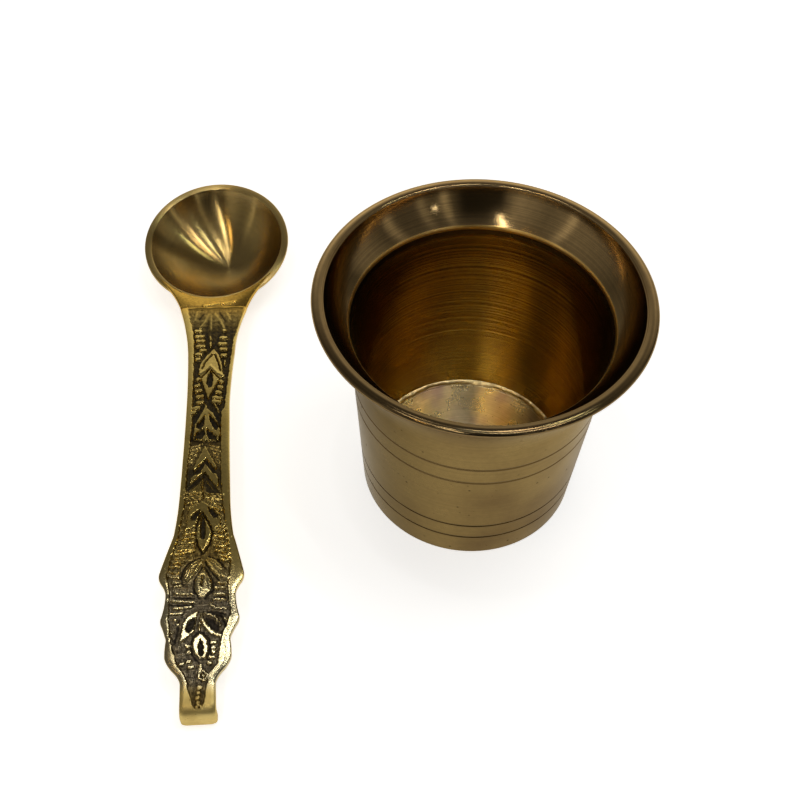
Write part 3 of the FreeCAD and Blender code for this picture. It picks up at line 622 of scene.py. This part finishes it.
def make_neck():
    """The neck, from the bowl's land to the joint, with two raised dashes on its end."""
    section = ring_of_places(96, 96)
    rows = 56
    piece, row, spot = strip("spoon_neck", rows, len(section))
    a, b, c, d = section[spot].T
    part = row / (rows - 1)
    sweep = a * NECK_SWEEP
    start_radius = BOWL_INSIDE + 0.14 + (NECK_ROOT - BOWL_INSIDE - 0.14) * np.abs(a) ** 8
    edge = float(half_width(JOINT[0])) + np.where(a > 0, 1, -1) * DRIFT[0][1]
    x = (1 - part) * start_radius * np.cos(sweep) + part * JOINT[0]
    y = (1 - part) * start_radius * np.sin(sweep) + part * (a * edge)
    y = y - 4 * part * (1 - part) * NECK_BOW * a * np.abs(a) + b * step_up(part / NECK_WEDGE)
    on_rim = (RIM_HEIGHT - 0.05 - start_radius * np.cos(sweep) * math.tan(BOWL_TILT)
              + start_radius * np.sin(sweep) * math.tan(BOWL_ROLL))
    height = (1 - part) * on_rim + part * JOINT[1]
    wedge = step_up(part / NECK_WEDGE)
    thick = (NECK_THIN + (PLATE - NECK_THIN) * part) * wedge
    level = np.zeros(len(x))
    top = (c == 0) & (d == 0)
    for dash in DASHES:
        away = near_line(x[top], y[top], (dash[:2], dash[2:]))
        level[top] = np.maximum(level[top], step_up((DASH_HALF - away) / DASH_SLOPE))
    z = height + c * wedge + d * thick + DASH_HEIGHT * level
    grimed = step_up((part - 0.8) / 0.2) * step_up((y - PANEL[0][1]) / 0.6) * step_up((PANEL[0][2] - y) / 0.6) * top
    # Painted highlight: the raised dashes get a lighter tone through the relief level, on top of the neck's gold;
    # the neck's end next to the panel is darker grime.
    dash_highlight_and_grime = 0.68 + 0.34 * level - 0.3 * grimed * (1 - level)
    return close_tube(piece, np.stack([x, y, z], axis=1), dash_highlight_and_grime)


# ---- shader helpers ----

def node(tree, kind, inputs=None, **settings):
    """Add a node, set it and link or fill its inputs."""
    made = tree.nodes.new(kind)
    for name, setting in settings.items():
        setattr(made, name, setting)
    for name, feed in (inputs or {}).items():
        if isinstance(feed, bpy.types.NodeSocket):
            tree.links.new(feed, made.inputs[name])
        else:
            made.inputs[name].default_value = feed
    return made


def sums(tree, operation, *feeds):
    """A Math node's result."""
    return node(tree, "ShaderNodeMath", dict(enumerate(feeds)), operation=operation).outputs[0]


def ramp(tree, feed, low, high, to_low=0.0, to_high=1.0):
    """Bring a value from one range to another, smoothly and within it."""
    made = node(tree, "ShaderNodeMapRange", {0: feed, 1: low, 2: high, 3: to_low, 4: to_high},
                interpolation_type="SMOOTHSTEP")
    return made.outputs[0]


def blend_colours(tree, share, first, second):
    """Mix two colours by a share."""
    made = tree.nodes.new("ShaderNodeMix")
    made.data_type = "RGBA"
    for index, feed in ((0, share), (6, first), (7, second)):
        if isinstance(feed, bpy.types.NodeSocket):
            tree.links.new(feed, made.inputs[index])
        else:
            made.inputs[index].default_value = feed
    return made.outputs[2]


def tone_scale(tree, feed, stops):
    """Read a value off a scale of colours, given as places and colours in rising order."""
    made = node(tree, "ShaderNodeValToRGB", {0: feed})
    marks = made.color_ramp.elements
    marks[0].position, marks[-1].position = stops[0][0], stops[-1][0]
    for spot, _ in stops[1:-1]:
        marks.new(spot)
    for mark, (_, colour) in zip(marks, stops):
        mark.color = (*colour, 1)
    return made.outputs[0]


def scaled(tree, colour, share):
    """A colour made lighter or darker."""
    return node(tree, "ShaderNodeVectorMath", {0: colour, "Scale": share}, operation="SCALE").outputs[0]


def tinted(tree, colour, tint):
    """A colour times another."""
    return node(tree, "ShaderNodeVectorMath", {0: colour, 1: tint}, operation="MULTIPLY").outputs[0]


def axes_of(tree, place):
    """The three parts of a place or heading."""
    return node(tree, "ShaderNodeSeparateXYZ", {0: place}).outputs


def new_group(name, takes, gives):
    """A shader node group with named inputs and outputs."""
    group = bpy.data.node_groups.new(name, "ShaderNodeTree")
    for label, kind, start in takes:
        socket = group.interface.new_socket(label, in_out="INPUT", socket_type=kind)
        socket.default_value = start
    for label, kind in gives:
        group.interface.new_socket(label, in_out="OUTPUT", socket_type=kind)
    return group, group.nodes.new("NodeGroupInput").outputs, group.nodes.new("NodeGroupOutput").inputs


FLOAT = "NodeSocketFloat"
COLOUR = "NodeSocketColor"


def make_turning_group():
    """Tool marks of turning: rings at uneven heights along one measure of the piece."""
    group, takes, gives = new_group(
        "turning_marks",
        (("Along", FLOAT, 0.0), ("Coarse", FLOAT, 1200.0), ("Fine", FLOAT, 7000.0), ("Fine share", FLOAT, 0.3)),
        (("Height", FLOAT), ("Tone", FLOAT)))
    coarse = node(group, "ShaderNodeCombineXYZ", {"Z": sums(group, "MULTIPLY", takes["Along"], takes["Coarse"])})
    fine = node(group, "ShaderNodeCombineXYZ", {"Z": sums(group, "MULTIPLY", takes["Along"], takes["Fine"])})
    rings = node(group, "ShaderNodeTexNoise", {"Vector": coarse.outputs[0], "Scale": 1.0, "Detail": 1.0})
    hair = node(group, "ShaderNodeTexNoise", {"Vector": fine.outputs[0], "Scale": 1.0, "Detail": 2.0})
    both = sums(group, "MULTIPLY_ADD", hair.outputs[0], takes["Fine share"], rings.outputs[0])
    group.links.new(both, gives["Height"])
    mean = sums(group, "MULTIPLY", sums(group, "ADD", hair.outputs[0], rings.outputs[0]), 0.5)
    group.links.new(ramp(group, mean, 0.38, 0.62), gives["Tone"])
    return group


def make_ageing_group():
    """Old brass: brown bloom in blotches, fine mottling, and dark pits."""
    group, takes, gives = new_group(
        "aged_brass",
        (("Bright", COLOUR, (0.5, 0.36, 0.14, 1)), ("Brown", COLOUR, (0.12, 0.06, 0.02, 1)),
         ("Blotch size", FLOAT, 60.0), ("Brown share", FLOAT, 0.4), ("Pit size", FLOAT, 300.0),
         ("Pit share", FLOAT, 0.1), ("Smooth", FLOAT, 0.25), ("Rough", FLOAT, 0.5)),
        (("Color", COLOUR), ("Roughness", FLOAT), ("Pits", FLOAT)))
    place = node(group, "ShaderNodeTexCoord").outputs["Object"]
    cloud = node(group, "ShaderNodeTexNoise", {"Vector": place, "Scale": takes["Blotch size"], "Detail": 3.0,
                                               "Roughness": 0.5})
    low = sums(group, "SUBTRACT", 0.72, takes["Brown share"])
    bloom = node(group, "ShaderNodeMapRange", {0: cloud.outputs[0], 1: low, 2: sums(group, "ADD", low, 0.4)},
                 interpolation_type="SMOOTHSTEP").outputs[0]
    mottle = node(group, "ShaderNodeTexNoise", {"Vector": place, "Scale": 900.0, "Detail": 3.0})
    shade = ramp(group, mottle.outputs[0], 0.3, 0.7, 0.95, 1.04)
    cells = node(group, "ShaderNodeTexVoronoi", {"Vector": place, "Scale": takes["Pit size"], "Randomness": 1.0})
    chance = node(group, "ShaderNodeTexNoise", {"Vector": place, "Scale": 240.0, "Detail": 0.0})
    rare = ramp(group, chance.outputs[0], 0.52, 0.62)
    hole = ramp(group, cells.outputs["Distance"], takes["Pit share"], 0.0)
    hole = sums(group, "MULTIPLY", hole, rare)
    colour = blend_colours(group, bloom, takes["Bright"], takes["Brown"])
    colour = blend_colours(group, hole, scaled(group, colour, shade), (0.02, 0.012, 0.006, 1))
    rough = node(group, "ShaderNodeMapRange", {0: bloom, 3: takes["Smooth"], 4: takes["Rough"]}).outputs[0]
    rough = sums(group, "MULTIPLY_ADD", hole, 0.4, rough)
    group.links.new(colour, gives["Color"])
    group.links.new(rough, gives["Roughness"])
    group.links.new(hole, gives["Pits"])
    return group


turning_group = make_turning_group()
ageing_group = make_ageing_group()


def use_group(tree, group, **inputs):
    """Place a shared group with its own values."""
    placed = node(tree, "ShaderNodeGroup", node_tree=group)
    for name, feed in inputs.items():
        label = name.replace("_", " ")
        if isinstance(feed, bpy.types.NodeSocket):
            tree.links.new(feed, placed.inputs[label])
        else:
            placed.inputs[label].default_value = feed
    return placed.outputs


EDGE_TINT = (0.82, 0.74, 0.6, 1)


def start_material(name):
    """A material with a metal Principled shader, and its tree."""
    material = bpy.data.materials.new(name)
    material.use_nodes = True
    tree = material.node_tree
    shader = tree.nodes["Principled BSDF"]
    shader.inputs["Metallic"].default_value = 1.0
    shader.inputs["Specular Tint"].default_value = EDGE_TINT
    return material, tree, shader


def finish_material(tree, shader, colour, rough, pits, marks, ring_depth, pit_depth, anisotropy):
    """Join colour, roughness, ring marks and pits to the shader, and stretch its gloss across the rings."""
    tree.links.new(colour, shader.inputs["Base Color"])
    tree.links.new(rough, shader.inputs["Roughness"])
    bump = node(tree, "ShaderNodeBump", {"Height": marks, "Strength": 1.0, "Distance": ring_depth})
    dents = node(tree, "ShaderNodeBump", {"Height": pits, "Strength": 1.0, "Distance": pit_depth,
                                          "Normal": bump.outputs[0]}, invert=True)
    tree.links.new(dents.outputs[0], shader.inputs["Normal"])
    if anisotropy:
        shader.inputs["Anisotropic"].default_value = anisotropy
        along_section = node(tree, "ShaderNodeTangent", direction_type="UV_MAP", uv_map="Turned")
        tree.links.new(along_section.outputs[0], shader.inputs["Tangent"])


def radius_of(tree, place):
    """Distance from the piece's upright axis."""
    parts = axes_of(tree, place)
    across = sums(tree, "MULTIPLY", parts[0], parts[0])
    return sums(tree, "SQRT", sums(tree, "MULTIPLY_ADD", parts[1], parts[1], across))


def line_share(tree, along):
    """How near a height is to one of the turned lines, where grime has settled."""
    nearest = None
    for height, width, _ in LINE_HEIGHTS:
        away = sums(tree, "ABSOLUTE", sums(tree, "SUBTRACT", along, MM * height))
        nearest = away if nearest is None else sums(tree, "MINIMUM", nearest, away)
    return ramp(tree, nearest, 0.00062, 0.0001, 0.0, 0.7)


def turned_material(name, measure, look, place=None):
    """Turned brass. Measure is height or radius; look gives colours, roughness and marks."""
    material, tree, shader = start_material(name)
    coordinates = node(tree, "ShaderNodeTexCoord").outputs["Object"]
    if place:
        coordinates = node(tree, "ShaderNodeMapping", {"Vector": coordinates, "Location": place[0],
                                                       "Rotation": place[1]}, vector_type="TEXTURE").outputs[0]
    if measure == "height":
        along = axes_of(tree, coordinates)[2]
    else:
        along = radius_of(tree, coordinates)
    marks = use_group(tree, turning_group, Along=along, Coarse=look["coarse"], Fine=look["fine"],
                      Fine_share=look["fine_share"])
    aged = use_group(tree, ageing_group, Bright=look["bright"], Brown=look["brown"], Blotch_size=look["blotch"],
                     Brown_share=look["brown_share"], Pit_size=look["pits"], Pit_share=look["pit_share"],
                     Smooth=look["smooth"], Rough=look["rough"])
    tone = sums(tree, "MULTIPLY_ADD", marks["Tone"], 2 * look["tone"], 1 - look["tone"])
    colour = scaled(tree, aged["Color"], tone)
    # Painted shade: the colour is darkened towards one side of the piece, along one of its axes.
    if look.get("shade"):
        axis, low, high, least = look["shade"]
        colour = scaled(tree, colour, ramp(tree, axes_of(tree, coordinates)[axis], low, high, least, 1.0))
    if look.get("lines"):
        colour = blend_colours(tree, line_share(tree, along), colour, look["lines"])
    rough = aged["Roughness"]
    # A band near an edge gets another colour and a little more roughness; on the cup's throat this band is a painted
    # highlight.
    if look.get("edge"):
        away, close, tint = look["edge"]
        near_edge = ramp(tree, along, MM * away, MM * close)
        colour = blend_colours(tree, near_edge, colour, tint)
        rough = sums(tree, "MULTIPLY_ADD", near_edge, 0.14, rough)
    finish_material(tree, shader, colour, rough, aged["Pits"], marks["Height"], look["ring_depth"],
                    look["pit_depth"], look["stretch"])
    return material


# Looks of the turned brass: colours, blooms, pits, roughness, tool marks, stretch of the gloss
COMMON = dict(pits=500.0, pit_share=0.0, pit_depth=0.0, fine=9000.0, fine_share=0.6)
# Outside wall: painted shade darkens its left side, towards -X; its turned lines hold darker grime.
OUTSIDE = dict(COMMON, bright=(0.212, 0.143, 0.05, 1), brown=(0.112, 0.066, 0.026, 1), blotch=34.0,
               brown_share=0.36, pits=420.0, pit_share=0.16, smooth=0.27, rough=0.36, coarse=1500.0,
               ring_depth=0.000008, pit_depth=0.00004, stretch=0.5, tone=0.06, lines=(0.085, 0.05, 0.02, 1),
               shade=(0, -0.027, -0.004, 0.34))
# Polished rim and dish: painted shade darkens the near side, towards -Y.
POLISHED = dict(COMMON, bright=(0.4, 0.27, 0.12, 1), brown=(0.32, 0.2, 0.09, 1), blotch=45.0,
                brown_share=0.25, smooth=0.15, rough=0.22, coarse=2600.0, fine_share=0.5,
                ring_depth=0.00001, stretch=0.6, tone=0.18, shade=(1, -0.034, 0.03, 0.42),
                # Painted highlight: a pale gold, rougher band along the throat's edge stands in for the bright line
                # the light draws there.
                edge=(THROAT[0] + 0.42, THROAT[0] + 0.2, (0.9, 0.58, 0.18, 1)))
BORE = dict(COMMON, bright=(0.49, 0.32, 0.06, 1), brown=(0.4, 0.24, 0.042, 1), blotch=40.0, brown_share=0.22,
            smooth=0.15, rough=0.2, coarse=1250.0, fine=6000.0, fine_share=0.3, ring_depth=0.00015,
            stretch=0.9, tone=0.14)
FLOOR_DISC = dict(COMMON, bright=(0.6, 0.49, 0.27, 1), brown=(0.34, 0.24, 0.17, 1), blotch=130.0,
                  brown_share=0.32, pits=850.0, pit_share=0.17, smooth=0.27, rough=0.38, coarse=2600.0,
                  ring_depth=0.00002, stretch=0.92, tone=0.12)
SPOON_BOWL = dict(COMMON, bright=(0.44, 0.31, 0.115, 1), brown=(0.36, 0.215, 0.055, 1), blotch=60.0,
                  brown_share=0.25, smooth=0.2, rough=0.26, coarse=2200.0, ring_depth=0.000008,
                  stretch=0.98, tone=0.06, edge=(BOWL_INSIDE - 0.1, BOWL_INSIDE + 0.15, (0.62, 0.44, 0.16, 1)))


def braze_material():
    """Dull, lumpy braze, paler than the brass round it."""
    material, tree, shader = start_material("braze_bead")
    place = node(tree, "ShaderNodeTexCoord").outputs["Object"]
    aged = use_group(tree, ageing_group, Bright=(0.6, 0.46, 0.22, 1), Brown=(0.14, 0.08, 0.035, 1),
                     Blotch_size=420.0, Brown_share=0.28, Pit_size=700.0, Pit_share=0.2, Smooth=0.3, Rough=0.5)
    lumps = node(tree, "ShaderNodeTexNoise", {"Vector": place, "Scale": 900.0, "Detail": 2.0})
    finish_material(tree, shader, aged["Color"], aged["Roughness"], aged["Pits"], lumps.outputs[0],
                    0.0002, 0.0001, 0.0)
    return material


CAST_TONES = ((0.0, (0.012, 0.008, 0.003)), (0.18, (0.06, 0.042, 0.015)), (0.4, (0.22, 0.155, 0.05)),
              (0.66, (0.4, 0.29, 0.085)), (0.96, (0.62, 0.46, 0.14)))


# Where the cast brass turns pale towards the tail (a greyer tone and a painted highlight that whitens its gloss),
# gold and dull at its fold, and warm at the neck
TAIL_PALING_AND_SHEEN = (-0.033, -0.046)
TAIL_TIP = (-0.0605, -0.064)
NECK_WARM = (0.034, 0.041)


def cast_material(name):
    """Cast brass: dark grime in the sunk ground, worn gold on what stands up, paler towards the tail, where part of
    the paling is a painted highlight.
    """
    material, tree, shader = start_material(name)
    place = node(tree, "ShaderNodeTexCoord").outputs["Object"]
    level = node(tree, "ShaderNodeAttribute", attribute_name="relief").outputs["Fac"]
    aged = use_group(tree, ageing_group, Bright=(1.0, 1.0, 1.0, 1), Brown=(0.72, 0.66, 0.55, 1), Blotch_size=150.0,
                     Brown_share=0.28, Pit_size=900.0, Pit_share=0.2, Smooth=0.17, Rough=0.27)
    grit = node(tree, "ShaderNodeTexNoise", {"Vector": place, "Scale": 1600.0, "Detail": 3.0})
    worn = sums(tree, "MULTIPLY_ADD", grit.outputs[0], 0.5, sums(tree, "SUBTRACT", level, 0.25))
    tones = tone_scale(tree, worn, CAST_TONES)
    towards_tail = axes_of(tree, place)[1]
    at_tail = ramp(tree, towards_tail, *TAIL_TIP)
    # Painted highlight: towards the tail the base turns paler and bluer so that the lamps' gloss there comes out
    # white; this fades back at the tip.
    paling_and_painted_sheen = sums(tree, "MULTIPLY", ramp(tree, towards_tail, *TAIL_PALING_AND_SHEEN, 0.0, 0.85),
                sums(tree, "SUBTRACT", 1.0, sums(tree, "MULTIPLY", at_tail, 0.8)))
    toned = blend_colours(tree, paling_and_painted_sheen, tones, tinted(tree, tones, (0.84, 1.0, 2.1)))
    toned = blend_colours(tree, ramp(tree, towards_tail, *NECK_WARM), toned, tinted(tree, toned, (1.2, 1.0, 0.62)))
    colour = tinted(tree, toned, aged["Color"])
    tree.links.new(colour, shader.inputs["Base Color"])
    clean = ramp(tree, worn, 0.1, 0.6)
    rough = node(tree, "ShaderNodeMapRange", {0: clean, 3: 0.5, 4: aged["Roughness"]}).outputs[0]
    rough = sums(tree, "MULTIPLY_ADD", at_tail, 0.26, rough)
    tree.links.new(rough, shader.inputs["Roughness"])
    tree.links.new(ramp(tree, worn, 0.0, 0.35, 0.6, 1.0), shader.inputs["Metallic"])
    cast_skin = sums(tree, "MULTIPLY", grit.outputs[0], sums(tree, "SUBTRACT", 1.12, clean))
    bump = node(tree, "ShaderNodeBump", {"Height": cast_skin, "Strength": 1.0, "Distance": 0.00016})
    dents = node(tree, "ShaderNodeBump", {"Height": aged["Pits"], "Strength": 1.0, "Distance": 0.0001,
                                          "Normal": bump.outputs[0]}, invert=True)
    tree.links.new(dents.outputs[0], shader.inputs["Normal"])
    return material


# ---- build the pieces ----

wall = make_wall()
wall.data.materials.append(turned_material("turned_outside", "height", OUTSIDE))
wall.data.materials.append(turned_material("polished_rim", "radius", POLISHED))
wall.data.materials.append(turned_material("turned_bore", "height", BORE))
for face in wall.data.polygons:
    radius = math.hypot(face.center.x, face.center.y)
    height = face.center.z
    if height > THROAT_IN[1] and (radius < RIM - LIP_WIDTH or height > CUP_TOP - 0.8):
        face.material_index = 1
    elif height > 0.1 and radius < (bore_at(height) + wall_at(height)) / 2 and height < THROAT_IN[1]:
        face.material_index = 2
settle(wall)
polar_map(wall)
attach(wall, "cup")
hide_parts("cup_body")

floor_disc = make_floor_disc()
floor_disc.data.materials.append(turned_material("turned_floor", "radius", FLOOR_DISC))
settle(floor_disc)
polar_map(floor_disc)
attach(floor_disc, "cup")
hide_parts("cup_base_disc")

braze = make_braze()
braze.data.materials.append(braze_material())
settle(braze)
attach(braze, "cup")
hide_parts("cup_braze_ring")

bowl = make_bowl()
polar_map(bowl)
shift_pole(bowl)
bowl_spot = tuple(MM * part for part in BOWL_PLACE.to_translation())
bowl.data.materials.append(
    turned_material("polished_bowl", "radius", SPOON_BOWL, (bowl_spot, tuple(BOWL_PLACE.to_euler()))))
settle(bowl, BOWL_PLACE)
cast_brass = cast_material("cast_brass")
neck = make_neck()
neck.data.materials.append(cast_brass)
settle(neck, SPOON)
bowl.select_set(True)
bpy.context.view_layer.objects.active = bowl
bpy.ops.object.join()
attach(bowl, "spoon")
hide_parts("spoon_bowl")

handle = make_handle()
handle.data.materials.append(cast_brass)
settle(handle, SPOON)
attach(handle, "spoon")
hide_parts("spoon_handle")

# ---- floor, light and camera ----

FLOOR_SPAN = 4.0
FLOOR_DROP = -0.0002
FLOOR_WHITE = 0.9
FLOOR_GLOW = 0.66
bpy.ops.object.select_all(action="DESELECT")
bpy.ops.mesh.primitive_grid_add(x_subdivisions=2, y_subdivisions=2, size=FLOOR_SPAN, location=(0, 0, FLOOR_DROP))
ground = bpy.context.object
ground.name = "pale_floor"
ground_material = bpy.data.materials.new("pale_floor")
ground_material.use_nodes = True
ground_tree = ground_material.node_tree
ground_shader = ground_tree.nodes["Principled BSDF"]
ground_shader.inputs["Base Color"].default_value = (FLOOR_WHITE, FLOOR_WHITE, FLOOR_WHITE, 1)
ground_shader.inputs["Roughness"].default_value = 0.9
ground_shader.inputs["Emission Color"].default_value = (1, 1, 1, 1)
ray = node(ground_tree, "ShaderNodeLightPath").outputs
seen = sums(ground_tree, "ADD", ray["Is Camera Ray"], sums(ground_tree, "ADD", ray["Is Glossy Ray"],
                                                           ray["Is Transmission Ray"]))
seen = sums(ground_tree, "MINIMUM", seen, 1.0)
ground_tree.links.new(sums(ground_tree, "MULTIPLY", seen, FLOOR_GLOW), ground_shader.inputs["Emission Strength"])
ground.data.materials.append(ground_material)


def lamp(name, place, size, watts, colour, long_way):
    """A soft rectangular lamp that faces the table, with its long side along long_way."""
    light = bpy.data.lights.new(name, "AREA")
    light.shape = "RECTANGLE"
    light.size, light.size_y = size
    light.energy = watts
    light.color = colour
    holder = bpy.data.objects.new(name, light)
    bpy.context.scene.collection.objects.link(holder)
    back = (Vector(place) - Vector(LAMP_AIM)).normalized()
    across = Vector(long_way).cross(back).normalized()
    turn = Matrix((across, back.cross(across), back)).transposed()
    holder.matrix_world = Matrix.Translation(place) @ turn.to_4x4()


LAMP_AIM = (-0.03, 0.0, 0.01)
LAMPS = (
    ("window_pane_0", (0.09, -0.03, 0.785), (0.014, 0.3), 0.28, (0.84, 0.93, 1.0), (0.57, -0.82, 0.0)),
    ("window_pane_1", (0.188, 0.02, 0.77), (0.02, 0.34), 0.42, (0.98, 0.96, 1.0), (0.75, -0.66, 0.0)),
    ("window_pane_2", (0.225, 0.06, 0.755), (0.01, 0.3), 0.17, (1.0, 0.9, 0.86), (0.8, -0.6, 0.0)),
    ("window_pane_3", (0.28, 0.14, 0.735), (0.014, 0.24), 0.22, (0.86, 1.0, 0.92), (0.88, -0.47, 0.0)),
    ("front_strip", (-0.133, -0.38, 0.665), (0.026, 0.5), 0.52, (1.0, 0.97, 0.9), (0.1, -1.0, -0.5)),
    ("warm_strip", (-0.26, -0.25, 0.71), (0.018, 0.22), 0.2, (1.0, 0.7, 0.3), (-0.1, -0.98, -0.3)),
    ("over_petals", (-0.17, 0.056, 0.79), (0.09, 0.12), 0.23, (1.0, 0.98, 0.93), (1.0, 0.0, 0.0)),
    ("over_tail", (-0.07, -0.02, 0.79), (0.024, 0.03), 0.15, (1.0, 1.0, 1.0), (0.0, 1.0, 0.0)),
    ("low_right", (0.44, -0.6, 0.34), (0.014, 0.04), 0.03, (1.0, 1.0, 1.0), (0.0, 0.0, 1.0)),
)
for settings in LAMPS:
    lamp(*settings)

# Room round the object: how bright each way is at the level of the eye, fading to a dim ceiling
ROOM = ((-180, 0.22), (-160, 0.28), (-153, 0.25), (-149, 0.8), (-144, 0.25), (-132, 0.18), (-124, 0.26),
        (-111, 0.4), (-105, 0.2), (-100, 0.02), (-74, 0.015), (-66, 0.1), (-62, 0.6), (-58, 0.1), (-50, 0.1),
        (-46, 0.4), (-42, 0.1), (-26, 0.1), (-21, 0.5), (-16, 0.08), (2, 0.27), (12, 0.27), (20, 0.1), (32, 0.15),
        (42, 0.6), (54, 0.7), (75, 0.95), (105, 0.95), (118, 0.5), (140, 0.2), (160, 0.12), (180, 0.22))
CEILING_FROM = (0.5, 0.88)
CEILING = (0.12, 0.115, 0.11, 1)
world = bpy.data.worlds.new("studio")
bpy.context.scene.world = world
world.use_nodes = True
sky = world.node_tree
heading = axes_of(sky, node(sky, "ShaderNodeTexCoord").outputs["Generated"])
turn_share = sums(sky, "MULTIPLY_ADD", sums(sky, "ARCTAN2", heading[1], heading[0]), 0.5 / math.pi, 0.5)
walls = tone_scale(sky, turn_share, [((degrees + 180) / 360, (bright, bright * 0.96, bright * 0.86))
                                     for degrees, bright in ROOM])
sky_colour = blend_colours(sky, ramp(sky, heading[2], *CEILING_FROM), walls, CEILING)
sky.links.new(sky_colour, sky.nodes["Background"].inputs["Color"])

CAMERA_PLACE = (-0.016448, -0.157083, 0.226592)
CAMERA_DOWN = math.radians(52.2145)
CAMERA_ROLL = math.radians(1.7556)
CAMERA_LENS = 51.21
camera_data = bpy.data.cameras.new("camera")
camera_data.lens = CAMERA_LENS
camera_data.sensor_width = 36.0
camera = bpy.data.objects.new("camera", camera_data)
bpy.context.scene.collection.objects.link(camera)
camera.location = CAMERA_PLACE
forward = Vector((0.0, math.cos(CAMERA_DOWN), -math.sin(CAMERA_DOWN)))
level_up = Vector((0.0, math.sin(CAMERA_DOWN), math.cos(CAMERA_DOWN)))
right = Vector((1.0, 0.0, 0.0)) * math.cos(CAMERA_ROLL) + level_up * math.sin(CAMERA_ROLL)
up = level_up * math.cos(CAMERA_ROLL) - Vector((1.0, 0.0, 0.0)) * math.sin(CAMERA_ROLL)
camera.rotation_euler = Matrix((right, up, -forward)).transposed().to_euler()
bpy.context.scene.camera = camera
bpy.context.scene.view_settings.view_transform = "Standard"
